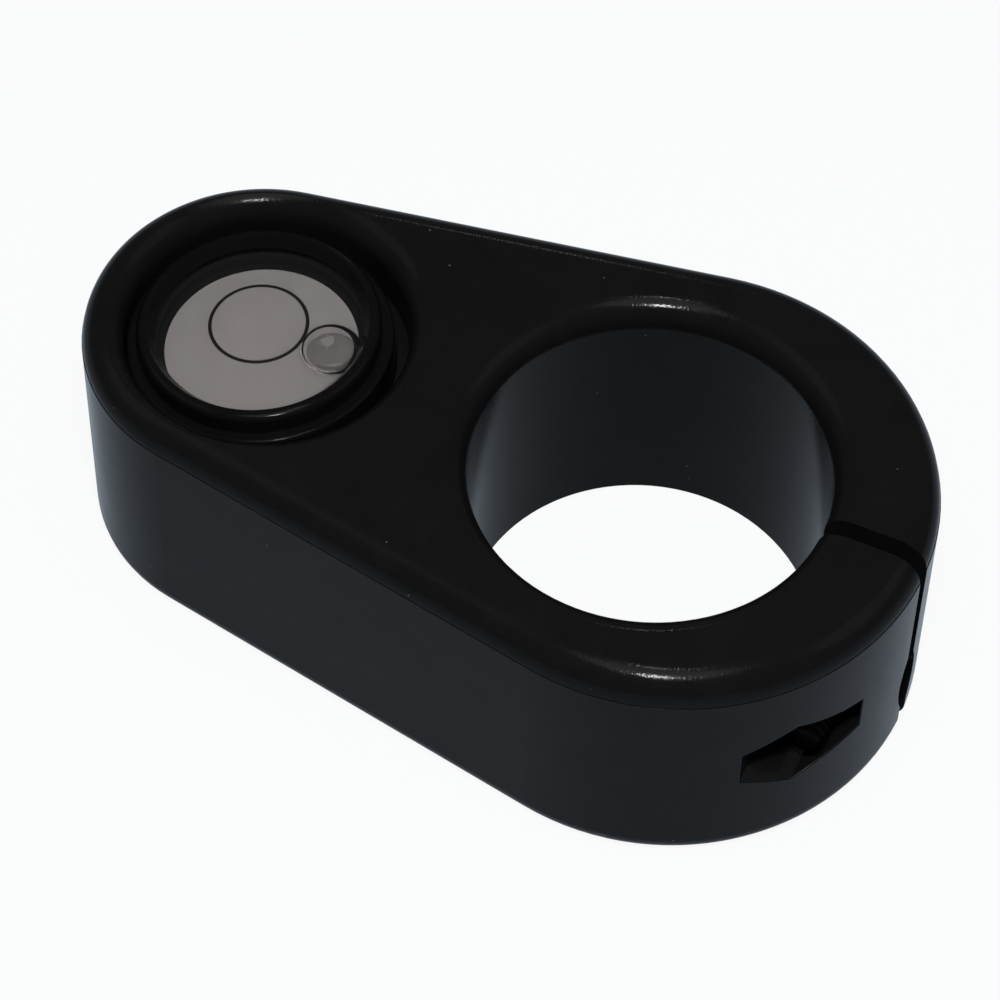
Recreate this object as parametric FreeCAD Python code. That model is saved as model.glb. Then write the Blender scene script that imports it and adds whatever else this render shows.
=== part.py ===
import FreeCAD, Part
import math
import os

# Bullseye level that clamps on a round pole: a teardrop body with a split
# bore in its large end and a sealed circular vial in its small end.
# Millimetres. The origin is on the bore's axis at the underside, +Z is up,
# and +X points from the vial to the split.

# Pole and bore
pole_diameter = 31.75
pole_clearance = 0.125        # on the radius, with the clamp open
bore_mouth_round = 2.45       # top edge of the bore
bore_foot_round = 0.4         # bottom edge of the bore

# Moulded body
bore_setback = 2.43           # the bore stands this far from the large arc's centre, towards the vial
ear_wall = 1.59               # plastic outside the screw head's counterbore, at the end of the clamp
mouth_web = 3.389             # flat left on top between the two round mouths
vial_end_wall = 3.249         # from the vial's recess to the outside, measured from the small arc's centre
body_height = 26.7
top_edge_round = 2.8
bottom_edge_round = 2.4
mould_step = 0.06             # ledge where the two halves of the mould meet

# Split of the clamp and the notch at its outer mouth
split_gap = 1.6
notch_height = 10.0
notch_width = 3.6
notch_depth = 1.0
notch_centre_z = 7.9
notch_side_shift = -0.05
notch_tilt = 4.0              # degrees, its top leans towards -Y

# Clamp screw, M4, with a nut held in a six-sided pocket
screw_diameter = 4.0
screw_length = 18.0           # under the head
screw_tip_chamfer = 0.5
screw_hole_clearance = 0.15   # on the radius
screw_wall = 2.04             # plastic left between the bore and the screw's hole
head_diameter = 7.0
head_height = 4.0
head_edge_chamfer = 0.3
head_clearance = 0.25         # on the radius, in the round counterbore
key_size = 3.0                # across the flats of the socket
key_depth = 2.0
nut_across_flats = 7.0
nut_thickness = 3.2
nut_pocket_clearance = 0.075  # on each flat
thread_clearance = 0.02       # between the screw's crest and the nut's bore
ear_grip = 4.8                # from the middle of the split to each seat
pocket_edge_round = 0.12      # mouth of the nut's pocket

# Vial: a black cup with a window, a domed lens sealed in its mouth, and fluid
vial_lean = 3.1               # degrees, its +X side stands high, so the bubble has run there
window_radius = 9.3
rim_width = 1.65              # the collar's wall, from the window outwards
rim_bevel = 0.67              # width of the slope from the collar's top down to the lens
rim_round = 0.65              # outer edge of the collar's top
collar_height = 2.05          # from the collar's top down to the cup's shoulder
shoulder_width = 1.05         # the cup's body stands this far out from its collar
shoulder_round = 0.3
cup_height = 8.6
cup_foot_chamfer = 0.3
cup_clearance = 0.05          # on the radius, in its seat
vial_setdown = 1.05           # the collar's top lies this far below the body's top
groove_gap = 0.1              # narrowest gap between the leaning cup and the recess
recess_shift = 0.53           # the recess stands this far from the small arc's centre, towards the bore
recess_mouth_round = 2.4
seat_depth = 3.45             # length of the cup that its seat holds
chamber_ledge = 0.25          # width of the step that the lens rests on
lens_clearance = 0.02
lens_recess = 0.9             # the lens's edge lies this far below the collar's top
lens_rim_thickness = 2.1
lens_dome_radius = 60.0
lens_hollow_radius = 120.0    # the hollow underside that the bubble rides in
disc_thickness = 0.5
disc_border = 0.55            # black floor left in sight round the disc's pocket
disc_clearance = 0.05
circle_radius = 4.36          # middle of the printed circle
circle_line_width = 0.28
ink_thickness = 0.04
chamber_depth = 2.2           # from the ledge down to the pale disc
fluid_film = 0.02             # between the fluid and what holds it
bubble_radius = 2.7
bubble_side_radius = 1.15     # its side is rounded tighter than its belly
bubble_belly_depth = 1.2      # below its widest level
bubble_press = 0.15           # the lens cuts this much off its top
bubble_wall_film = 0.03       # fluid left between the bubble and the chamber's wall
bubble_bearing = 12.0         # degrees from +X, round the vial's axis

# Tools that cut are longer than what they cut by this much
overrun = 5.0

# The clamp's end, from the bore outwards through the screw
bore_radius = pole_diameter / 2 + pole_clearance
screw_radius = screw_diameter / 2
screw_hole_radius = screw_radius + screw_hole_clearance
screw_x = bore_radius + screw_wall + screw_hole_radius
screw_z = body_height / 2
outer_wall_x = screw_x + head_diameter / 2 + head_clearance + ear_wall
clamp_end_radius = outer_wall_x - bore_setback

# The vial's end, from the window outwards. Heights in the vial are those that
# it would have upright. It leans about the point where its axis meets the
# floor of the recess.
collar_radius = window_radius + rim_width
cup_radius = collar_radius + shoulder_width
cup_top_z = body_height - vial_setdown
cup_shoulder_z = cup_top_z - collar_height
cup_bottom_z = cup_top_z - cup_height
recess_floor_z = cup_bottom_z + seat_depth
lean_slope = math.tan(math.radians(vial_lean))
lean_reach = (cup_shoulder_z - recess_floor_z) * lean_slope
recess_radius = cup_radius + lean_reach + groove_gap + recess_shift
vial_x = -(bore_radius + bore_mouth_round + mouth_web + recess_mouth_round + recess_radius + recess_shift)
recess_x = vial_x + recess_shift
vial_end_radius = recess_radius + vial_end_wall
end_spacing = bore_setback - vial_x
mould_line_z = body_height - top_edge_round

# Inside the vial
chamber_radius = window_radius - chamber_ledge
lens_edge_z = cup_top_z - lens_recess
ledge_z = lens_edge_z - lens_rim_thickness
lens_dome_z = lens_edge_z - math.sqrt(lens_dome_radius ** 2 - window_radius ** 2)
lens_hollow_z = ledge_z - math.sqrt(lens_hollow_radius ** 2 - chamber_radius ** 2)
disc_top_z = ledge_z - chamber_depth
pocket_radius = chamber_radius - disc_border
pocket_floor_z = disc_top_z - disc_thickness
bubble_reach = chamber_radius - fluid_film - bubble_wall_film - bubble_radius
bubble_x = vial_x + bubble_reach * math.cos(math.radians(bubble_bearing))
bubble_y = bubble_reach * math.sin(math.radians(bubble_bearing))
bubble_top_z = lens_hollow_z + math.sqrt(lens_hollow_radius ** 2 - bubble_reach ** 2)


def vector(x, y, z):
    return FreeCAD.Vector(x, y, z)


def upright(radius, low, high, x=0.0, y=0.0):
    """A cylinder round a vertical axis, between two heights."""
    return Part.makeCylinder(radius, high - low, vector(x, y, low))


def along_y(radius, start, end, x, z):
    """A cylinder round an axis that runs along Y."""
    return Part.makeCylinder(radius, end - start, vector(x, start, z), vector(0, 1, 0))


def line(start, end):
    """A straight edge in the XZ plane, from one (x, z) to another."""
    return Part.LineSegment(vector(start[0], 0, start[1]), vector(end[0], 0, end[1])).toShape()


def bend(start, middle, end):
    """An arc in the XZ plane through three (x, z) points."""
    points = [vector(x, 0, z) for x, z in (start, middle, end)]
    return Part.Arc(*points).toShape()


def circles(shape, radius, axis, place):
    """The circular edges of one radius whose centre lies at one place along an axis."""
    found = []
    for edge in shape.Edges:
        curve = edge.Curve
        if not isinstance(curve, Part.Circle):
            continue
        if abs(curve.Radius - radius) < 1e-4 and abs(getattr(curve.Center, axis) - place) < 1e-4:
            found.append(edge)
    return found


def leaned(shape):
    """Turns a piece of the vial, modelled upright, to the lean of the whole vial."""
    shape.rotate(vector(vial_x, 0, recess_floor_z), vector(0, 1, 0), -vial_lean)
    return shape


def teardrop(inset):
    """The body's outline: two end arcs and the two lines that touch both."""
    small = vial_end_radius - inset
    large = clamp_end_radius - inset
    slope = (small - large) / end_spacing
    rise = math.sqrt(1 - slope ** 2)
    small_top = vector(vial_x + small * slope, small * rise, 0)
    small_low = vector(small_top.x, -small_top.y, 0)
    large_top = vector(bore_setback + large * slope, large * rise, 0)
    large_low = vector(large_top.x, -large_top.y, 0)
    small_end = vector(vial_x - small, 0, 0)
    large_end = vector(outer_wall_x - inset, 0, 0)
    edges = [
        Part.Arc(small_top, small_end, small_low).toShape(),
        Part.LineSegment(small_low, large_low).toShape(),
        Part.Arc(large_low, large_end, large_top).toShape(),
        Part.LineSegment(large_top, small_top).toShape(),
    ]
    return Part.Face(Part.Wire(edges))


def edges_at(shape, z):
    """The edges that lie wholly at one height."""
    return [e for e in shape.Edges if abs(e.BoundBox.ZMin - z) < 1e-5 and abs(e.BoundBox.ZMax - z) < 1e-5]


def body_blank():
    """The outer form: a lower block, and a cap that stands in from it by the mould's step."""
    block = teardrop(0).extrude(vector(0, 0, mould_line_z))
    block = block.makeFillet(bottom_edge_round, edges_at(block, 0))
    cap = teardrop(mould_step).extrude(vector(0, 0, top_edge_round + 1))
    cap.translate(vector(0, 0, mould_line_z - 1))
    cap = cap.makeFillet(top_edge_round, edges_at(cap, body_height))
    return block.fuse(cap).removeSplitter()


def flared_tool(radius, floor, foot_round, mouth_round, x):
    """A round tool whose mouth widens by an arc at the top face, and by another at its foot."""
    high = body_height + overrun
    mouth = radius + mouth_round
    start_z = body_height - mouth_round
    turn = mouth_round * (1 - math.sqrt(0.5))
    if foot_round > 0:
        foot = radius + foot_round
        foot_turn = foot_round * (1 - math.sqrt(0.5))
        low = floor - overrun
        edges = [
            line((0, low), (foot, low)),
            line((foot, low), (foot, floor)),
            bend((foot, floor), (radius + foot_turn, floor + foot_turn), (radius, floor + foot_round)),
        ]
    else:
        low = floor
        edges = [line((0, low), (radius, low))]
    edges += [
        line((radius, floor + foot_round), (radius, start_z)),
        bend((radius, start_z), (radius + turn, body_height - turn), (mouth, body_height)),
        line((mouth, body_height), (mouth, high)),
        line((mouth, high), (0, high)),
        line((0, high), (0, low)),
    ]
    tool = Part.Face(Part.Wire(edges)).revolve(vector(0, 0, 0), vector(0, 0, 1), 360)
    tool.translate(vector(x, 0, 0))
    return tool


def hexagon(across_flats, start, end):
    """A six-sided bar along Y at the screw, with a corner up and a corner down."""
    reach = across_flats / 2 / math.cos(math.pi / 6)
    corners = []
    for i in range(6):
        angle = math.pi / 2 + i * math.pi / 3
        corners.append(vector(screw_x + reach * math.cos(angle), start, screw_z + reach * math.sin(angle)))
    face = Part.Face(Part.makePolygon(corners + corners[:1]))
    return face.extrude(vector(0, end - start, 0))


def notch_tool():
    """A lens-shaped prism along X at the split's outer mouth."""
    low = vector(0, 0, -notch_height / 2)
    high = vector(0, 0, notch_height / 2)
    near = Part.Arc(low, vector(0, -notch_width / 2, 0), high).toShape()
    far = Part.Arc(high, vector(0, notch_width / 2, 0), low).toShape()
    tool = Part.Face(Part.Wire([near, far])).extrude(vector(notch_depth + overrun, 0, 0))
    tool.rotate(vector(0, 0, 0), vector(1, 0, 0), notch_tilt)
    tool.translate(vector(outer_wall_x - notch_depth, notch_side_shift, notch_centre_z))
    return tool


def eased_pocket_edge(body):
    """Rounds the sharp edge of the six-sided pocket's mouth on the outer wall."""
    reach = nut_across_flats / 2 / math.cos(math.pi / 6) + 4 * nut_pocket_clearance
    mouth = []
    for edge in body.Edges:
        middle = edge.BoundBox.Center
        beside = abs(middle.x - screw_x) < reach and abs(middle.z - screw_z) < reach
        outside = edge.BoundBox.YMax < -ear_grip - nut_thickness
        across = abs(edge.tangentAt(edge.FirstParameter).y) < 0.99
        if beside and outside and across:
            mouth.append(edge)
    return body.makeFillet(pocket_edge_round, mouth)


def seat_tool():
    """The leaning seat, whose top just clears the floor of the recess on the vial's low side."""
    radius = cup_radius + cup_clearance
    return leaned(upright(radius, cup_bottom_z, recess_floor_z + 2 * radius * lean_slope, vial_x))


def make_clamp_body():
    body = body_blank()
    body = body.cut(flared_tool(bore_radius, 0, bore_foot_round, bore_mouth_round, 0))
    body = body.cut(flared_tool(recess_radius, recess_floor_z, 0, recess_mouth_round, recess_x))
    body = body.cut(seat_tool())
    reach = outer_wall_x - bore_radius / 2 + overrun
    split = Part.makeBox(reach, split_gap, body_height + 2 * overrun,
                         vector(bore_radius / 2, -split_gap / 2, -overrun))
    body = body.cut(split)
    body = body.cut(notch_tool())
    side = clamp_end_radius + overrun
    body = body.cut(along_y(screw_hole_radius, -side, side, screw_x, screw_z))
    body = body.cut(along_y(head_diameter / 2 + head_clearance, ear_grip, side, screw_x, screw_z))
    body = body.cut(hexagon(nut_across_flats + 2 * nut_pocket_clearance, -side, -ear_grip))
    return eased_pocket_edge(body)


def make_vial_cup():
    """The black cup: body and collar, a sloped window for the lens, the chamber and the disc's pocket."""
    body = upright(cup_radius, cup_bottom_z, cup_shoulder_z, vial_x)
    body = body.makeFillet(shoulder_round, circles(body, cup_radius, "z", cup_shoulder_z))
    body = body.makeChamfer(cup_foot_chamfer, circles(body, cup_radius, "z", cup_bottom_z))
    collar = upright(collar_radius, cup_shoulder_z - overrun / 2, cup_top_z, vial_x)
    cup = body.fuse(collar).removeSplitter()
    cup = cup.cut(upright(window_radius, ledge_z, cup_top_z + overrun, vial_x))
    cup = cup.cut(upright(chamber_radius, disc_top_z, ledge_z + overrun / 2, vial_x))
    cup = cup.cut(upright(pocket_radius, pocket_floor_z, disc_top_z + overrun / 2, vial_x))
    cup = cup.makeFillet(rim_round, circles(cup, collar_radius, "z", cup_top_z))
    rise = lens_recess + overrun
    wide = window_radius + rim_bevel * rise / lens_recess
    return leaned(cup.cut(Part.makeCone(window_radius, wide, rise, vector(vial_x, 0, lens_edge_z))))


def ball(radius, centre_z):
    return Part.makeSphere(radius, vector(vial_x, 0, centre_z))


def make_vial_lens():
    """A clear plug, domed above and hollowed to a longer radius below."""
    lens = upright(window_radius - lens_clearance, ledge_z, cup_top_z + overrun, vial_x)
    lens = lens.common(ball(lens_dome_radius, lens_dome_z))
    return leaned(lens.cut(ball(lens_hollow_radius, lens_hollow_z)))


def chamber_filling():
    """All that the sealed chamber holds above its disc, bubble included."""
    filling = upright(chamber_radius - fluid_film, disc_top_z + fluid_film, lens_edge_z, vial_x)
    return filling.common(ball(lens_hollow_radius - fluid_film, lens_hollow_z))


def bubble_form(growth):
    """The bubble as a free body, a round side on a flatter belly, larger by a growth all over."""
    side = bubble_side_radius + growth
    middle = bubble_radius - bubble_side_radius
    drop = bubble_belly_depth + growth
    belly = (middle ** 2 + drop ** 2 - side ** 2) / (2 * (drop - side))
    meet = math.atan2(belly - drop, middle)
    foot = vector(0, 0, -drop)
    half = math.pi / 4 + meet / 2
    belly_mid = vector(belly * math.cos(half), 0, belly - drop - belly * math.sin(half))
    joint = vector(belly * math.cos(meet), 0, belly - drop - belly * math.sin(meet))
    crown = vector(middle, 0, side)
    edges = [
        Part.Arc(foot, belly_mid, joint).toShape(),
        Part.Arc(joint, vector(middle + side, 0, 0), crown).toShape(),
        Part.LineSegment(crown, vector(0, 0, side)).toShape(),
        Part.LineSegment(vector(0, 0, side), foot).toShape(),
    ]
    form = Part.Face(Part.Wire(edges)).revolve(vector(0, 0, 0), vector(0, 0, 1), 360)
    form.translate(vector(bubble_x, bubble_y, bubble_top_z + bubble_press - bubble_side_radius))
    return form


def make_vial_fluid():
    return leaned(chamber_filling().cut(bubble_form(fluid_film)))


def make_air_bubble():
    return leaned(chamber_filling().common(bubble_form(0)))


def make_backing_disc():
    return leaned(upright(pocket_radius - disc_clearance, pocket_floor_z, disc_top_z, vial_x))


def make_target_circle():
    """The circle printed on the lens, as a thin ring of ink that follows the dome."""
    ring = upright(circle_radius + circle_line_width / 2, lens_edge_z, lens_edge_z + overrun, vial_x)
    ring = ring.cut(upright(circle_radius - circle_line_width / 2, 0, body_height + overrun, vial_x))
    ring = ring.common(ball(lens_dome_radius + ink_thickness, lens_dome_z))
    return leaned(ring.cut(ball(lens_dome_radius, lens_dome_z)))


def make_clamp_screw():
    """A socket head cap screw that enters from the +Y side."""
    tip = ear_grip - screw_length
    shank = along_y(screw_radius, tip, ear_grip + head_height / 2, screw_x, screw_z)
    shank = shank.makeChamfer(screw_tip_chamfer, circles(shank, screw_radius, "y", tip))
    head = along_y(head_diameter / 2, ear_grip, ear_grip + head_height, screw_x, screw_z)
    head = head.makeChamfer(head_edge_chamfer, circles(head, head_diameter / 2, "y", ear_grip + head_height))
    screw = head.fuse(shank).removeSplitter()
    return screw.cut(hexagon(key_size, ear_grip + head_height - key_depth, ear_grip + head_height + overrun))


def make_hex_nut():
    """The nut, its corners turned off at thirty degrees on both faces."""
    nut = hexagon(nut_across_flats, -ear_grip - nut_thickness, -ear_grip)
    corner = nut_across_flats / 2 / math.cos(math.pi / 6)
    drop = (corner - nut_across_flats / 2) * math.tan(math.pi / 6)
    wide = nut_thickness - 2 * drop
    middle = along_y(corner, -ear_grip - drop - wide, -ear_grip - drop, screw_x, screw_z)
    inner = Part.makeCone(corner, nut_across_flats / 2, drop, vector(screw_x, -ear_grip - drop, screw_z),
                          vector(0, 1, 0))
    outer = Part.makeCone(corner, nut_across_flats / 2, drop,
                          vector(screw_x, -ear_grip - nut_thickness + drop, screw_z), vector(0, -1, 0))
    turned = middle.fuse([inner, outer])
    bore = along_y(screw_radius + thread_clearance, -ear_grip - nut_thickness - overrun, -ear_grip + overrun,
                   screw_x, screw_z)
    return nut.common(turned).cut(bore)


nodes = {
    "clamp_body": make_clamp_body,
    "vial_cup": make_vial_cup,
    "vial_lens": make_vial_lens,
    "vial_fluid": make_vial_fluid,
    "air_bubble": make_air_bubble,
    "backing_disc": make_backing_disc,
    "target_circle": make_target_circle,
    "clamp_screw": make_clamp_screw,
    "hex_nut": make_hex_nut,
}

os.makedirs("parts", exist_ok=True)
for name, make in nodes.items():
    shape = make()
    shape.exportStep(os.path.join("parts", name + ".step"))
    print(name, "solids", len(shape.Solids), "valid", shape.isValid(), "volume", round(shape.Volume, 1))
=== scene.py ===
# %% [markdown]
# # A bullseye level for a round pole
# The object is a black moulded clamp. Its large end grips a pole, its small
# end carries a round vial with a bubble, and a screw with a nut closes it.
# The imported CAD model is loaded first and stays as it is. It sets all the
# sizes, so everything here is made round it, in metres, in the same frame:
# the origin on the bore's axis at the underside, +Z up, +X towards the split.

# %% Load the CAD model
import math
import bpy
import numpy as np
from mathutils import Matrix, Vector


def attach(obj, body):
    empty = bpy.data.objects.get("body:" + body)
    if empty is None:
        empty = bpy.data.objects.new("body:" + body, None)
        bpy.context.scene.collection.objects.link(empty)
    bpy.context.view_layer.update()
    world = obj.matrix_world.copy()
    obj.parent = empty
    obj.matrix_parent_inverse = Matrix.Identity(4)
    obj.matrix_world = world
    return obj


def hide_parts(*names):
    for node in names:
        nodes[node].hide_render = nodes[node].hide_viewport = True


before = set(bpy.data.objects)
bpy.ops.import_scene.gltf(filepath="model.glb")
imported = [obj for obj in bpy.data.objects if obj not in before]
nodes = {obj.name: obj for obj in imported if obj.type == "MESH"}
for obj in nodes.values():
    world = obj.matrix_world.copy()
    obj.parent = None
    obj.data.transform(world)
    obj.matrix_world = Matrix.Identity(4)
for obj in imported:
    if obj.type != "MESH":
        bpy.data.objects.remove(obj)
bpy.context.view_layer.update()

print("CAD nodes:", ", ".join(sorted(nodes)))

# %% [markdown]
# ## Sizes
# The numbers that the new surfaces need are named once, in millimetres, with
# the values of the CAD model. The vial leans in its seat by about three
# degrees, so its pieces are worked out upright and one function leans them.

# %% Named sizes in millimetres
MM = 0.001

vial_x = -37.567
lean_pivot_z = 20.5
vial_lean = math.radians(3.1)

window_radius = 9.3
chamber_radius = 9.05
lens_edge_z = 24.75
ledge_z = 22.65
dome_radius = 60.0
hollow_radius = 120.0
disc_top_z = 20.45

dome_centre_z = lens_edge_z - math.sqrt(dome_radius ** 2 - window_radius ** 2)
hollow_centre_z = ledge_z - math.sqrt(hollow_radius ** 2 - chamber_radius ** 2)
lens_top_z = dome_centre_z + dome_radius
hollow_top_z = hollow_centre_z + hollow_radius
print("the lens is", round(lens_top_z - hollow_top_z, 3), "mm thick in its middle")


def leaned(points):
    """Turns points of the upright vial by its lean.

    The turn lifts the +X side. It is about the line along Y through
    x = vial_x, z = lean_pivot_z, so x and z from there are mixed by the
    cosine and sine of the lean, and y stays.
    """
    c, s = math.cos(vial_lean), math.sin(vial_lean)
    x, z = points[..., 0] - vial_x, points[..., 2] - lean_pivot_z
    leaned_x = vial_x + c * x - s * z
    leaned_z = lean_pivot_z + s * x + c * z
    return np.stack([leaned_x, points[..., 1], leaned_z], axis=-1)


def on_vial_axis(z):
    """The leaned place of a point on the vial's axis."""
    return leaned(np.array([vial_x, 0, z]))


# %% [markdown]
# ## From arrays to meshes
# Every new piece here is a stack of closed rings: a lens, a bubble and a
# screw are all rings that grow and shrink along an axis. One function knits
# such a stack into faces, with a single point where a ring shrinks to
# nothing. The arrays are worked out whole, so no loop visits a vertex.
# The materials of clear pieces need two numbers from their points. Contact
# is 1 where a piece touches another, because no light is mirrored there.
# Shade is how much light a steep skin turns away from the disc below. How
# strongly it acts was chosen.

# %% Knit rings into a mesh
def piece_from_rings(name, rings, first_point=None, last_point=None, closed=False, **marks):
    """A mesh from rings of shape (rows, columns, 3), in millimetres.

    Row i and row i + 1 are joined by a belt of four-sided faces. A first or
    last point closes that end by a fan, and closed joins the last row to the
    first. Faces point outwards where the columns run anticlockwise as seen
    from the side that the rows run towards. Each mark is one number per row,
    kept as a point attribute of that name, and an end point takes its row's.
    """
    rows, columns = rings.shape[:2]
    points = rings.reshape(-1, 3)
    index = np.arange(rows * columns).reshape(rows, columns)
    ahead = np.roll(index, -1, axis=1)
    sides = np.stack([index, ahead], axis=-1)
    low, high = (sides, np.roll(sides, -1, axis=0)) if closed else (sides[:-1], sides[1:])
    faces = np.concatenate([low, high[..., ::-1]], axis=-1).reshape(-1, 4).tolist()
    if first_point is not None:
        centre = np.full(columns, len(points))
        points = np.vstack([points, first_point])
        faces += np.stack([centre, ahead[0], index[0]], axis=-1).tolist()
    if last_point is not None:
        centre = np.full(columns, len(points))
        points = np.vstack([points, last_point])
        faces += np.stack([centre, index[-1], ahead[-1]], axis=-1).tolist()
    mesh = bpy.data.meshes.new(name)
    mesh.from_pydata((points * MM).tolist(), [], faces)
    mesh.shade_smooth()
    for mark, row_values in marks.items():
        ends = [row_values[row] for row, point in ((0, first_point), (-1, last_point))
                if point is not None]
        values = np.concatenate([np.repeat(row_values, columns), ends]).astype(np.float32)
        mesh.attributes.new(mark, "FLOAT", "POINT").data.foreach_set("value", values)
    piece = bpy.data.objects.new(name, mesh)
    bpy.context.scene.collection.objects.link(piece)
    print(name, "has", len(faces), "faces")
    return piece


def turned(radius, height, columns, x=0.0, y=0.0):
    """Rings of a turned shape: each (radius, height) pair goes round a vertical axis."""
    angle = np.linspace(0, 2 * np.pi, columns, endpoint=False)
    radius, height = np.asarray(radius)[:, None], np.asarray(height)[:, None]
    return np.stack(
        [x + radius * np.cos(angle), y + radius * np.sin(angle), height + 0 * angle], axis=-1)


# %% [markdown]
# ## The lens
# The vial's window is a thick disc of clear acrylic: gently domed on top,
# and hollowed below to a longer radius, which is what makes the bubble seek
# the highest point. It could be a cylinder with a bevel, but refraction
# shows every flat facet, so the profile follows two true spheres. Its
# side reaches a hair into the cup's wall, as a bonded lens does, so that no
# film of air mirrors the white disc where the black wall should show.

# %% Vial lens
bond = 0.01              # how far a clear piece reaches into what it touches
edge_ring = 0.002        # an extra ring this close to an edge keeps the edge crisp
vial_columns = 128


def cap_height(radius, sphere_radius, centre_z):
    """Height of a sphere over a point at a distance from its axis: centre + sqrt(R^2 - r^2)."""
    return centre_z + np.sqrt(sphere_radius ** 2 - np.asarray(radius) ** 2)


hollow_r = np.linspace(0, chamber_radius, 33)[1:]
dome_r = np.concatenate(
    [[window_radius + bond], np.linspace(window_radius + edge_ring, 0, 41)[:-1]])
lens_r = np.concatenate([hollow_r, [window_radius + edge_ring, window_radius + bond], dome_r])
lens_z = np.concatenate([
    cap_height(hollow_r, hollow_radius, hollow_centre_z),
    [ledge_z - bond, ledge_z - bond],
    cap_height(dome_r, dome_radius, dome_centre_z),
])
lens_in_fluid = np.arange(len(lens_r)) <= len(hollow_r)
lens = piece_from_rings(
    "lens_dome", leaned(turned(lens_r, lens_z, vial_columns, vial_x)),
    on_vial_axis(hollow_top_z), on_vial_axis(lens_top_z), contact=lens_in_fluid)
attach(lens, "root")
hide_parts("vial_lens")

# %% [markdown]
# ## The bubble
# An air bubble under a nearly flat window is not a ball. It is a flattened
# drop of air: a low crown under the window, a round side and a deeper
# belly. A ball pressed flat would be simpler, but a flat top shows no glint
# and hardly any dark edge. So the profile is three arcs that run smoothly
# into each other, with heights matched to the picture. The CAD piece keeps
# its simple flat top at the same place. The fluid gets the same shape as an
# inner skin, a little larger, because light bends at that skin.

# %% Bubble profile
bubble_radius = 2.7
bubble_side = 0.8        # radius of the round side
bubble_crown = 0.9       # height over the widest level
bubble_belly = 1.35      # depth under the widest level
bubble_film = 0.05       # fluid left between the crown and the lens
bubble_wall_gap = 0.05
bubble_bearing = math.radians(12.0)
flat_shade = 0.25        # shade where the skin lies flat
bubble_reach = chamber_radius - bubble_wall_gap - bubble_radius
bubble_x = vial_x + bubble_reach * math.cos(bubble_bearing)
bubble_y = bubble_reach * math.sin(bubble_bearing)
window_over_bubble_z = cap_height(bubble_reach, hollow_radius, hollow_centre_z)
bubble_middle_z = window_over_bubble_z - bubble_film - bubble_crown


def cap_arc(middle, side, height):
    """Radius of a cap's arc, and the angle where it meets the side arc.

    The cap stands a height over the widest level, and the side arc has its
    centre a middle's distance from the axis. The two arcs share a tangent
    where the distance between their centres is the difference of their
    radii: (R - height)^2 + middle^2 = (R - side)^2.
    """
    radius = (middle ** 2 + height ** 2 - side ** 2) / (2 * (height - side))
    return radius, math.atan2(radius - height, middle)


def bubble_rings(growth, columns=96):
    """Rings, foot, top and the rings' shades of a bubble that is larger by a growth all over.

    The belly arc, the side arc and the crown arc follow each other in one
    turn from straight down to straight up. Shade rises from flat_shade with
    the squared cosine of that angle to 1 where the skin stands upright.
    """
    side, middle = bubble_side + growth, bubble_radius - bubble_side
    belly, belly_meet = cap_arc(middle, side, bubble_belly + growth)
    crown, crown_meet = cap_arc(middle, side, bubble_crown + growth)
    belly_angle = np.linspace(-np.pi / 2, -belly_meet, 20)[1:]
    side_angle = np.linspace(-belly_meet, crown_meet, 48)[1:]
    crown_angle = np.linspace(crown_meet, np.pi / 2, 20)[1:-1]
    r = np.concatenate([
        belly * np.cos(belly_angle),
        middle + side * np.cos(side_angle),
        crown * np.cos(crown_angle)])
    z = np.concatenate([
        belly - bubble_belly - growth + belly * np.sin(belly_angle),
        side * np.sin(side_angle),
        bubble_crown + growth - crown + crown * np.sin(crown_angle)])
    steepness = np.cos(np.concatenate([belly_angle, side_angle, crown_angle])) ** 2
    shade = flat_shade + (1 - flat_shade) * steepness
    rings = turned(r, z + bubble_middle_z, columns, bubble_x, bubble_y)
    foot = np.array([bubble_x, bubble_y, bubble_middle_z - bubble_belly - growth])
    top = np.array([bubble_x, bubble_y, bubble_middle_z + bubble_crown + growth])
    return leaned(rings), leaned(foot), leaned(top), shade


# %% Air bubble
rings, foot, top, _ = bubble_rings(0)
bubble = piece_from_rings("bubble_air", rings, foot, top)
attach(bubble, "root")
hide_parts("air_bubble")

# %% [markdown]
# ## The fluid
# The level fluid fills the chamber under the lens. Its outer skin wets the
# walls and the lens, so it overlaps them by a hair. A gap of air would send
# flat rays back down, and the dark line round the bubble would be lost,
# because it is the black wall seen past the lens. The inner skin round the
# bubble faces inwards, towards the air. Both skins are one mesh, made as
# two stacks of rings that are joined at the end.

# %% Vial fluid
wetting = 0.02           # how far the fluid overlaps the lens
skin_growth = 0.02       # how far the fluid's inner skin stands off the bubble
floor_r = np.linspace(0, chamber_radius + bond, 12)[1:]
ceiling_r = np.concatenate(
    [[chamber_radius + bond], np.linspace(chamber_radius + edge_ring, 0, 41)[:-1]])
ceiling = (hollow_radius + wetting, hollow_centre_z)
fluid_r = np.concatenate([floor_r, ceiling_r])
fluid_z = np.concatenate([disc_top_z - bond + 0 * floor_r, cap_height(ceiling_r, *ceiling)])
fluid = piece_from_rings(
    "level_fluid", leaned(turned(fluid_r, fluid_z, vial_columns, vial_x)),
    on_vial_axis(disc_top_z - bond), on_vial_axis(sum(ceiling)), contact=np.ones(len(fluid_r)))

rings, foot, top, shade = bubble_rings(skin_growth)
skin = piece_from_rings(
    "bubble_skin", rings[::-1], top, foot, contact=0 * shade, shade=shade[::-1])
with bpy.context.temp_override(active_object=fluid, selected_editable_objects=[fluid, skin]):
    bpy.ops.object.join()
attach(fluid, "root")
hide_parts("vial_fluid")

# %% [markdown]
# ## The printed circle
# The ring that the bubble is centred in is printed on the lens. Ink has
# almost no height, so it could be painted by the material, but then it
# would vanish from the exported mesh. It is a band with a softly rounded
# section instead, that follows the dome.

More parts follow.
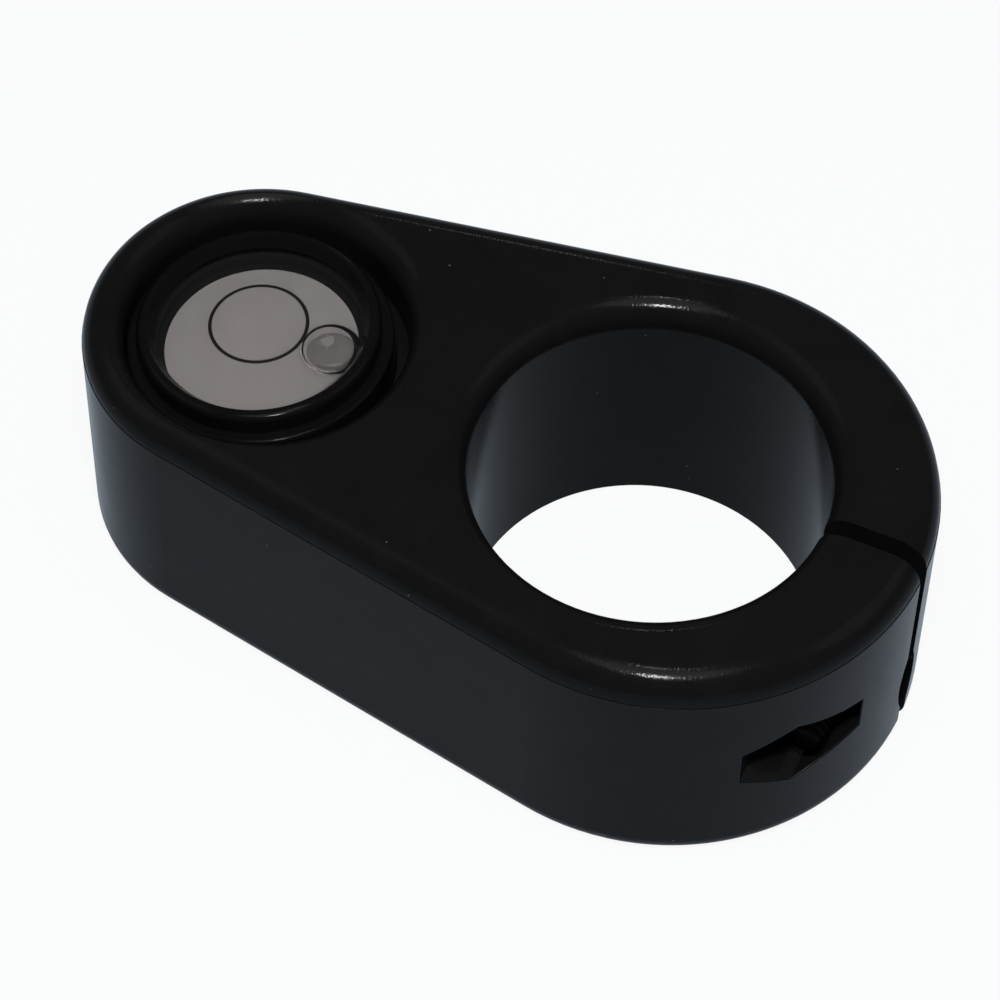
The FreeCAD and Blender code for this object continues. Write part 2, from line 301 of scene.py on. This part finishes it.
# %% Target circle
circle_radius = 4.36
circle_half_width = 0.165
ink_height = 0.04
circle_columns = 192
section = np.linspace(0, 2 * np.pi, 16, endpoint=False)
ink_r = circle_radius + circle_half_width * np.cos(section)
dome_z = cap_height(ink_r, dome_radius, dome_centre_z)
ink_z = dome_z + ink_height / 2 + ink_height / 2 * np.sin(section)
circle = piece_from_rings(
    "printed_circle", leaned(turned(ink_r, ink_z, circle_columns, vial_x)), closed=True)
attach(circle, "root")
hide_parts("target_circle")

# %% [markdown]
# ## The clamp screw
# A socket head cap screw, M4 with a thread of 0.7 mm pitch. The CAD piece
# has a plain shank, and a real M4 screw is threaded, though the picture
# doesn't show it. A thread can be made with a Screw modifier, but one
# surface for the whole fastener needs no joints: every point lies at a
# radius that depends on the distance along the axis and on the angle round
# it. The head's knurl, the six-sided socket and the helix are such rules.

# %% Screw sizes and rules for the radius
screw_x = 20.19
screw_z = 13.35
pitch = 0.7
crest_radius = 2.0
thread_depth = 0.43
crest_flat = 0.125       # half the crest's flat, as a share of half a pitch
flank = 0.625            # a flank, as a share of half a pitch
thread_rows = 14         # rows of points in one pitch
head_radius = 3.5
seat_y = 4.8
head_y = seat_y + 4.0
tip_y = seat_y - 18.0
key_floor_y = head_y - 2.0
key_half_width = 1.5
knurl_teeth = 48
knurl_depth = 0.05
screw_columns = 192
around = np.linspace(0, 2 * np.pi, screw_columns, endpoint=False)


def thread_radius(y, angle):
    """Radius of a right-handed thread: a flat crest, a flat root and straight flanks between them.

    The phase is y / pitch plus the turn's share of the angle, so it goes
    round once while y moves by one pitch.
    """
    phase = (y / pitch + angle / (2 * np.pi)) % 1.0
    from_crest = 2 * np.abs(phase - 0.5)
    return crest_radius - thread_depth * np.clip((from_crest - crest_flat) / flank, 0, 1)


def hexagon_radius(half_width, angle):
    """Distance from the middle of a hexagon to its side.

    It is half the hexagon's width over the cosine of the angle from the
    middle of that side.
    """
    return half_width / np.cos((angle % (np.pi / 3)) - np.pi / 6)


def along_axis(radius, y):
    """Rings round the screw's axis, which runs along Y, from a radius for each row and angle."""
    radius = np.broadcast_to(radius, (len(y), len(around)))
    depth = np.broadcast_to(np.asarray(y, float)[:, None], radius.shape)
    x = screw_x + radius * np.cos(around)
    z = screw_z + radius * np.sin(around)
    return np.stack([x, depth, z], axis=-1)


# %% Clamp screw
key = hexagon_radius(key_half_width, around)
knurled = head_radius - knurl_depth * np.abs(((around * knurl_teeth / (2 * np.pi)) % 1.0) * 2 - 1)
head_rows = [
    # the socket: its drilled bottom, its corner and its wall
    (key * 0.5, key_floor_y - 0.25), (key * 0.97, key_floor_y), (key, key_floor_y + 0.06),
    # its bevelled mouth and the flat end of the head
    (key, head_y - 0.12), (np.maximum(key, 1.62), head_y), (1.9, head_y),
    # the head's rounded rim
    (head_radius - 0.32, head_y), (head_radius - 0.24, head_y - 0.03),
    (head_radius - 0.03, head_y - 0.28),
    # the knurled side and the small bevel at the seat
    (knurled, head_y - 0.36), (knurled, seat_y + 0.36),
    (head_radius - 0.03, seat_y + 0.28), (head_radius - 0.08, seat_y),
    # the seat and the plain neck
    (crest_radius, seat_y), (crest_radius, seat_y - 0.5),
]
head = np.stack([np.broadcast_to(radius, around.shape) for radius, _ in head_rows])

shank_top_y = seat_y - 0.7
run_out_y = seat_y - 0.6
run_out_length = 0.5
tip_radius = crest_radius - 0.5      # where the bevel of the tip ends
tip_core_radius = 1.45
shank_y = np.arange(shank_top_y, tip_y + 0.02, -pitch / thread_rows)
run_out = np.clip((run_out_y - shank_y) / run_out_length, 0, 1)[:, None]
thread = thread_radius(shank_y[:, None], around[None, :])
thread = crest_radius + (thread - crest_radius) * run_out
thread = np.minimum(thread, (tip_radius + (shank_y - tip_y))[:, None])

screw_rows = np.vstack([head, thread, np.full((1, screw_columns), tip_core_radius)])
screw_y = np.concatenate([[y for _, y in head_rows], shank_y, [tip_y]])
screw = piece_from_rings(
    "cap_screw", along_axis(screw_rows, screw_y),
    np.array([screw_x, key_floor_y - 0.45, screw_z]), np.array([screw_x, tip_y, screw_z]))
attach(screw, "root")
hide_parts("clamp_screw")

# %% [markdown]
# ## The nut
# The nut fills its six-sided pocket. Outside, its radius is the smaller of
# a hexagon and a cone of thirty degrees, which gives the curved edges that a
# turned nut has at its corners. Inside, it follows the screw's own thread
# with a little clearance, so the two mesh without touching.

# %% Hex nut
nut_half_width = 3.5
nut_height = 3.2
nut_near_y = -seat_y
nut_far_y = nut_near_y - nut_height
nut_corner = nut_half_width / math.cos(math.pi / 6)
face_bevel = 0.1         # how far inside the flats the cone meets the face
corner_wear = 0.03
thread_clearance = 0.02
mouth_depth = 0.3        # depth of the bevel at each end of the thread
mouth_start = crest_radius - 0.25
outer_y = np.linspace(nut_near_y, nut_far_y, 41)
from_face = np.minimum(nut_near_y - outer_y, outer_y - nut_far_y)
cone = (nut_half_width - face_bevel + from_face / math.tan(math.pi / 6))[:, None]
hexagon = hexagon_radius(nut_half_width, around)[None, :]
outer = np.minimum(np.minimum(hexagon, cone), nut_corner - corner_wear)

bore_y = np.linspace(nut_far_y, nut_near_y, 61)
mouth = mouth_depth - np.minimum(bore_y - nut_far_y, nut_near_y - bore_y)[:, None]
bevel = np.where(mouth > 0, mouth_start + mouth, 0)
bore = np.maximum(thread_radius(bore_y[:, None], around[None, :]) + thread_clearance, bevel)
nut = piece_from_rings(
    "lock_nut", along_axis(np.vstack([outer, bore]), np.concatenate([outer_y, bore_y])),
    closed=True)
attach(nut, "root")
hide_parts("hex_nut")

# %% [markdown]
# ## Colours and nodes
# Colours are written as sRGB hex, as a colour picker shows them, and one
# function turns them to the linear values that Blender calculates with. One
# more function adds a node, sets its values and joins its inputs, and short
# ones for noise, relief, maths and mixtures are built on it.

# %% Helpers for materials
def linear(hex_colour):
    """sRGB to linear: low values over 12.92, the rest to the power of 2.4 after a shift."""
    parts = [int(hex_colour[i:i + 2], 16) / 255 for i in (1, 3, 5)]
    curved = [c / 12.92 if c <= 0.04045 else ((c + 0.055) / 1.055) ** 2.4 for c in parts]
    return (*curved, 1.0)


def add(tree, kind, settings=(), **inputs):
    """Adds a node. Settings are properties of the node.

    Each input is a value or another node's output. Its key is the name of
    the socket with _ for a space, or _ and the socket's number.
    """
    node = tree.nodes.new(kind)
    for key, value in dict(settings).items():
        setattr(node, key, value)
    for key, value in inputs.items():
        name = key.replace("_", " ")
        socket = node.inputs[int(key[1:])] if key[1:].isdigit() else node.inputs[name]
        if isinstance(value, bpy.types.NodeSocket):
            tree.links.new(value, socket)
        else:
            socket.default_value = value
    return node


def new_material(name):
    """An empty node material and its tree."""
    material = bpy.data.materials.new(name)
    material.use_nodes = True
    material.node_tree.nodes.clear()
    return material, material.node_tree


def ramp(tree, factor, *stops):
    """Greys that run between two (place, grey) stops."""
    node = add(tree, "ShaderNodeValToRGB", Fac=factor)
    for element, (place, grey) in zip(node.color_ramp.elements, stops):
        element.position = place
        element.color = (grey, grey, grey, 1)
    return node.outputs["Color"]


def object_coordinates(tree):
    """The point's place on the object, in metres."""
    return add(tree, "ShaderNodeTexCoord").outputs["Object"]


def per_size(millimetres):
    """A noise scale, in turns per metre, for features of a size in millimetres."""
    return 1 / (millimetres * MM)


def noise(tree, place, millimetres, **inputs):
    """Noise from 0 to 1 with features of a size in millimetres."""
    node = add(tree, "ShaderNodeTexNoise", Vector=place, Scale=per_size(millimetres), **inputs)
    return node.outputs["Fac"]


def relief(tree, height, strength, millimetres, **inputs):
    """A normal bent by a height map that is so many millimetres deep."""
    node = add(tree, "ShaderNodeBump", Height=height, Strength=strength,
               Distance=millimetres * MM, **inputs)
    return node.outputs["Normal"]


def maths(tree, operation, first, second):
    """The result of a math node."""
    return add(tree, "ShaderNodeMath", {"operation": operation}, _0=first, _1=second).outputs[0]


def colour_between(tree, factor, first, second):
    """The first colour at a factor of 0, the second at 1."""
    node = add(tree, "ShaderNodeMix", {"data_type": "RGBA"}, _0=factor, _6=first, _7=second)
    return node.outputs[2]


def shader_between(tree, factor, first, second):
    """The first shader at a factor of 0, the second at 1."""
    return add(tree, "ShaderNodeMixShader", _0=factor, _1=first, _2=second).outputs["Shader"]


# %% [markdown]
# ## Black moulded plastic
# The clamp is injection-moulded acetal, a dense, slightly waxy black
# plastic. A polished mould leaves it smooth but never perfect: long shallow
# waves from shrinking, a fine skin that breaks up the glints, and small
# changes of gloss where the melt flowed. It picks up dust, which shows as
# sparse pale specks. All of these are noise at real sizes: waves 14 mm
# long, skin 0.25 mm, specks of about 0.15 mm a few millimetres apart.

# %% Black acetal
black_shine = 0.065
dust_colour = "#5c5a57"


def black_plastic(name, colours, gloss, skin, wave, dust_size):
    """A black plastic, as its material, its tree and its shader.

    Colours and gloss (as roughness) are each two values that the flow of
    the melt runs between. Skin and wave are strengths of relief.
    """
    material, tree = new_material(name)
    place = object_coordinates(tree)
    waves = noise(tree, place, 14, Detail=2.0)
    grain = noise(tree, place, 0.25, Detail=1.0)
    flow = noise(tree, place, 6, Detail=4.0, Distortion=1.2)
    specks = add(tree, "ShaderNodeTexVoronoi", Vector=place, Scale=per_size(2.6), Randomness=1.0)
    size = maths(tree, "MULTIPLY", noise(tree, place, 9, Detail=1.0), dust_size)
    dust = maths(tree, "LESS_THAN", specks.outputs["Distance"], size)
    tone = colour_between(tree, flow, linear(colours[0]), linear(colours[1]))
    dusty_tone = colour_between(tree, dust, tone, linear(dust_colour))
    roughness = ramp(tree, flow, (0.3, gloss[0]), (0.7, gloss[1]))
    fine = relief(tree, grain, skin, 0.02)
    shader = add(tree, "ShaderNodeBsdfPrincipled", Base_Color=dusty_tone, Roughness=roughness,
                 IOR=1.48, Specular_IOR_Level=black_shine,
                 Normal=relief(tree, waves, wave, 0.2, Normal=fine))
    add(tree, "ShaderNodeOutputMaterial", Surface=shader.outputs["BSDF"])
    return material, tree, shader


moulded_acetal, _, _ = black_plastic(
    "Moulded_acetal_black", ("#0f0f10", "#151515"), (0.12, 0.18),
    skin=0.6, wave=0.3, dust_size=0.05)

# %% [markdown]
# ## The cup
# The vial's cup is turned or moulded ABS with a harder gloss than the clamp,
# because the collar frames the window and is polished with it. It uses the
# same build-up with lower roughness and hardly any skin. Where the lens and
# the fluid wet the wall, no air is left to mirror in: plastic and acrylic
# bend light almost alike, so the wall there keeps its colour and loses its
# shine. The wetted wall is found by its place: inside the window's radius
# and below the lens's edge, measured along the leaning axis.

# %% Black ABS
wetted_margin = 0.03
polished_abs, tree, shader = black_plastic(
    "Polished_ABS_black", ("#0b0b0c", "#0f0f10"), (0.1, 0.16),
    skin=0.1, wave=0.1, dust_size=0.0)
upright = add(tree, "ShaderNodeMapping", {"vector_type": "TEXTURE"},
              Vector=object_coordinates(tree), Rotation=(0, -vial_lean, 0),
              Location=(vial_x * MM, 0, lean_pivot_z * MM))
split = add(tree, "ShaderNodeSeparateXYZ", Vector=upright.outputs["Vector"])
across = add(tree, "ShaderNodeCombineXYZ", X=split.outputs["X"], Y=split.outputs["Y"])
reach = add(tree, "ShaderNodeVectorMath", {"operation": "LENGTH"}, _0=across.outputs["Vector"])
inside = maths(tree, "LESS_THAN", reach.outputs["Value"], (window_radius + wetted_margin) * MM)
below = maths(tree, "LESS_THAN", split.outputs["Z"], (lens_edge_z - lean_pivot_z) * MM)
wetted = maths(tree, "MULTIPLY", inside, below)
shine = add(tree, "ShaderNodeMix", {"data_type": "FLOAT"}, _0=wetted, _2=black_shine, _3=0.0)
tree.links.new(shine.outputs[0], shader.inputs["Specular IOR Level"])

# %% [markdown]
# ## Clear acrylic, fluid and air
# Acrylic bends light with an index of 1.49, the fluid (a light alcohol or
# oil) with about 1.4, and air with 1. Path tracing finds lamps badly through
# curved glass, so shadow rays and diffuse rays pass straight through, and
# the disc below is lit as if the lens were open. What the camera sees still
# bends. Where two clear pieces touch, the tint of the mirrored light goes to
# black, and the steep side of the bubble dims the light that passes it.
# Light scratches on the outer face are a low relief.

# %% Clear materials
white, black = (1, 1, 1, 1), (0, 0, 0, 1)
light_past_steep_skin = (0.35, 0.35, 0.35, 1)


def point_mark(tree, name):
    """A number that piece_from_rings kept on the points, or 0 where a piece has none."""
    settings = {"attribute_type": "GEOMETRY", "attribute_name": name}
    return add(tree, "ShaderNodeAttribute", settings).outputs["Fac"]


def clear_material(name, colour, index, scratch=0.0):
    """A clear material of an index, with scratches of a strength."""
    material, tree = new_material(name)
    wear = noise(tree, object_coordinates(tree), 1.2, Detail=4.0)
    mirrored = colour_between(tree, point_mark(tree, "contact"), white, black)
    glass = add(tree, "ShaderNodeBsdfPrincipled", Base_Color=linear(colour), Roughness=0.0,
                IOR=index, Transmission_Weight=1.0, Specular_Tint=mirrored,
                Normal=relief(tree, wear, scratch, 0.01))
    let_through = colour_between(
        tree, point_mark(tree, "shade"), linear(colour), light_past_steep_skin)
    clear = add(tree, "ShaderNodeBsdfTransparent", Color=let_through)
    path = add(tree, "ShaderNodeLightPath")
    passing = maths(
        tree, "MAXIMUM", path.outputs["Is Shadow Ray"], path.outputs["Is Diffuse Ray"])
    both = shader_between(tree, passing, glass.outputs["BSDF"], clear.outputs["BSDF"])
    add(tree, "ShaderNodeOutputMaterial", Surface=both)
    return material


clear_acrylic = clear_material("Clear_acrylic", "#fbfbfa", 1.49, scratch=0.05)
level_fluid = clear_material("Clear_level_fluid", "#fbfafa", 1.4)
bubble_gas = clear_material("Air_in_bubble", "#ffffff", 1.0)

# %% [markdown]
# ## The pale disc
# Behind the fluid lies a disc of matt white plastic that has aged to a warm
# grey. Very fine mottling keeps it from looking like flat paper.

# %% Matt polystyrene
pale_polystyrene, tree = new_material("Matt_polystyrene_pale")
mottle = noise(tree, object_coordinates(tree), 2.5, Detail=4.0)
tone = colour_between(tree, mottle, linear("#817d7d"), linear("#8b8788"))
shader = add(tree, "ShaderNodeBsdfPrincipled", Base_Color=tone, Roughness=0.6, IOR=1.45,
             Normal=relief(tree, mottle, 0.1, 0.02))
add(tree, "ShaderNodeOutputMaterial", Surface=shader.outputs["BSDF"])

# %% [markdown]
# ## Printing ink
# The circle is screen-printed in a thin brown-black ink. Screen ink is
# slightly uneven in tone along the line. No shadow of it can be made out on
# the disc in the photograph, so most shadow rays pass the ink.

# %% Screen-printing ink
shadow_light_past_ink = 0.85
printing_ink, tree = new_material("Screen_printing_ink")
uneven = noise(tree, object_coordinates(tree), 0.8, Detail=3.0)
tone = colour_between(tree, uneven, linear("#0b0807"), linear("#17120f"))
shader = add(tree, "ShaderNodeBsdfPrincipled", Base_Color=tone, Roughness=0.5, IOR=1.5,
             Specular_IOR_Level=0.2)
clear = add(tree, "ShaderNodeBsdfTransparent", Color=white)
path = add(tree, "ShaderNodeLightPath")
unshadowed = maths(tree, "MULTIPLY", path.outputs["Is Shadow Ray"], shadow_light_past_ink)
both = shader_between(tree, unshadowed, shader.outputs["BSDF"], clear.outputs["BSDF"])
add(tree, "ShaderNodeOutputMaterial", Surface=both)

# %% [markdown]
# ## Black-oxide steel
# The screw and the nut are steel with a thin black oxide, which is deep
# grey where it is oiled and duller where it has dried. The oxide takes up
# light at flat angles too, so the tint there is grey. The skin follows
# the drawn metal's fine scratches, so a stretched noise gives the
# scratches and a broad one changes tone and gloss together.

# %% Black oxide
black_oxide, tree = new_material("Black_oxide_steel")
place = object_coordinates(tree)
squeeze = add(tree, "ShaderNodeMapping", Vector=place, Scale=(1.0, 9.0, 1.0))
scratches = noise(tree, squeeze.outputs["Vector"], 0.9, Detail=5.0)
patches = noise(tree, place, 1.6, Detail=3.0)
tone = colour_between(tree, patches, linear("#0d0d0e"), linear("#181818"))
shader = add(tree, "ShaderNodeBsdfPrincipled", Base_Color=tone, Metallic=1.0,
             Roughness=ramp(tree, patches, (0.3, 0.25), (0.7, 0.42)),
             Specular_Tint=linear("#777777"), Normal=relief(tree, scratches, 0.3, 0.02))
add(tree, "ShaderNodeOutputMaterial", Surface=shader.outputs["BSDF"])

# %% Give every piece its material
finishes = {
    nodes["clamp_body"]: moulded_acetal,
    nodes["vial_cup"]: polished_abs,
    nodes["backing_disc"]: pale_polystyrene,
    lens: clear_acrylic,
    fluid: level_fluid,
    bubble: bubble_gas,
    circle: printing_ink,
    screw: black_oxide,
    nut: black_oxide,
}
for piece, material in finishes.items():
    if piece.material_slots:
        piece.material_slots[0].material = material
    else:
        piece.data.materials.append(material)
print("finishes:", ", ".join(sorted({m.name for m in finishes.values()})))

# %% [markdown]
# ## Floor
# A pale floor under the object. The camera is to see it as a white page that
# still keeps a soft shadow, so for a camera ray most of it glows with a
# strength of 1 and the rest is the lit floor. Glossy and transmitted rays
# see the page too, in a smaller share: the walls of the photographed piece
# mirror a pale grey table, darker close to the object, and not pure white.

# %% Floor
seen_page, mirrored_page = 0.93, 0.08
floor_half_width = 3.0
floor_drop = 0.0001      # keeps the floor clear of the underside
pale_floor, tree = new_material("Pale_floor_paint")
lit = add(tree, "ShaderNodeBsdfPrincipled", Base_Color=linear("#b6c5d3"), Roughness=0.8)
page = add(tree, "ShaderNodeEmission", Color=white, Strength=1.0)
path = add(tree, "ShaderNodeLightPath")
bent = maths(tree, "MAXIMUM", path.outputs["Is Glossy Ray"], path.outputs["Is Transmission Ray"])
mirrored = maths(tree, "MULTIPLY", bent, mirrored_page)
direct = maths(tree, "MULTIPLY", path.outputs["Is Camera Ray"], seen_page)
share = maths(tree, "MAXIMUM", direct, mirrored)
mixed = shader_between(tree, share, lit.outputs["BSDF"], page.outputs["Emission"])
add(tree, "ShaderNodeOutputMaterial", Surface=mixed)

corners = [(x * floor_half_width, y * floor_half_width, 0)
           for x, y in ((-1, -1), (1, -1), (1, 1), (-1, 1))]
mesh = bpy.data.meshes.new("floor")
mesh.from_pydata(corners, [], [(0, 1, 2, 3)])
mesh.materials.append(pale_floor)
floor = bpy.data.objects.new("floor", mesh)
floor.location.z = -floor_drop
bpy.context.scene.collection.objects.link(floor)

# %% [markdown]
# ## World and lamps
# The black plastic is drawn by what it mirrors. The sky is a soft even grey,
# so the flat top stays nearly black. A small lamp just above the camera
# gives the hard little glints on the rounds, a softbox over it gives their
# soft bands, and a small high lamp gives a second row of glints above the
# first. A weak far lamp gives the glint on the bore's near lip.
# Two large soft lamps fill in from the sides.

# %% World
sky_strength = 0.12
world = bpy.data.worlds.new("studio")
bpy.context.scene.world = world
world.use_nodes = True
world.node_tree.nodes.clear()
tree = world.node_tree
path = add(tree, "ShaderNodeLightPath")
sky = add(tree, "ShaderNodeBackground", Color=white, Strength=sky_strength)
backdrop = add(tree, "ShaderNodeBackground", Color=white, Strength=1.0)
both = shader_between(
    tree, path.outputs["Is Camera Ray"], sky.outputs["Background"], backdrop.outputs["Background"])
add(tree, "ShaderNodeOutputWorld", Surface=both)


# %% Lamps
def direction(azimuth, elevation):
    """Unit vector from the object towards a lamp or the camera: azimuth 0 is -Y, 90 is +X."""
    a, e = math.radians(azimuth), math.radians(elevation)
    return Vector((math.sin(a) * math.cos(e), -math.cos(a) * math.cos(e), math.sin(e)))


def lamp(name, azimuth, elevation, distance, width, strength):
    """A round area lamp that faces the origin.

    Strength is the light that it brings there, as a share of what makes a
    white surface look white: radiance times solid angle over pi.
    """
    data = bpy.data.lights.new(name, "AREA")
    data.shape = "DISK"
    data.size = width
    data.energy = strength * math.pi ** 2 * distance ** 2
    lamp_object = bpy.data.objects.new(name, data)
    towards = direction(azimuth, elevation)
    lamp_object.location = towards * distance
    lamp_object.rotation_euler = towards.to_track_quat("Z", "Y").to_euler()
    bpy.context.scene.collection.objects.link(lamp_object)


lamp("flash", 19, 66, 0.33, 0.03, 0.6)
lamp("softbox", 19, 78, 0.8, 0.44, 0.2)
lamp("high_lamp", 199, 82, 1.0, 0.05, 0.04)
lamp("far_lamp", 200, 33, 1.0, 0.03, 0.01)
lamp("soft_left", -75, 50, 1.2, 0.8, 0.06)
lamp("soft_right", 110, 45, 1.2, 0.8, 0.06)

# %% [markdown]
# ## Camera
# The picture fits a camera with a long lens, high on the right. Its place,
# direction and focal length come from fitting the object's edges to the
# picture, so they are kept as angles and one distance.

# %% Camera
camera_azimuth, camera_elevation, camera_roll = 22.9389, 54.5981, 1.3286
camera_distance = 0.3815
camera_focal_length, camera_sensor_width = 151.957, 36.0     # millimetres
camera_target = Vector((-0.01429, 0.00036, 0.01156))
back = direction(camera_azimuth, camera_elevation)
azimuth = math.radians(camera_azimuth)
right = Vector((math.cos(azimuth), math.sin(azimuth), 0))
up = back.cross(right)
c, s = math.cos(math.radians(camera_roll)), math.sin(math.radians(camera_roll))
axes = Matrix((right * c + up * s, up * c - right * s, back)).transposed()
data = bpy.data.cameras.new("camera")
data.sensor_width = camera_sensor_width
data.sensor_fit = "HORIZONTAL"
data.lens = camera_focal_length
camera = bpy.data.objects.new("camera", data)
camera.matrix_world = Matrix.Translation(camera_target + back * camera_distance) @ axes.to_4x4()
bpy.context.scene.collection.objects.link(camera)
bpy.context.scene.camera = camera
bpy.context.scene.view_settings.view_transform = "Standard"
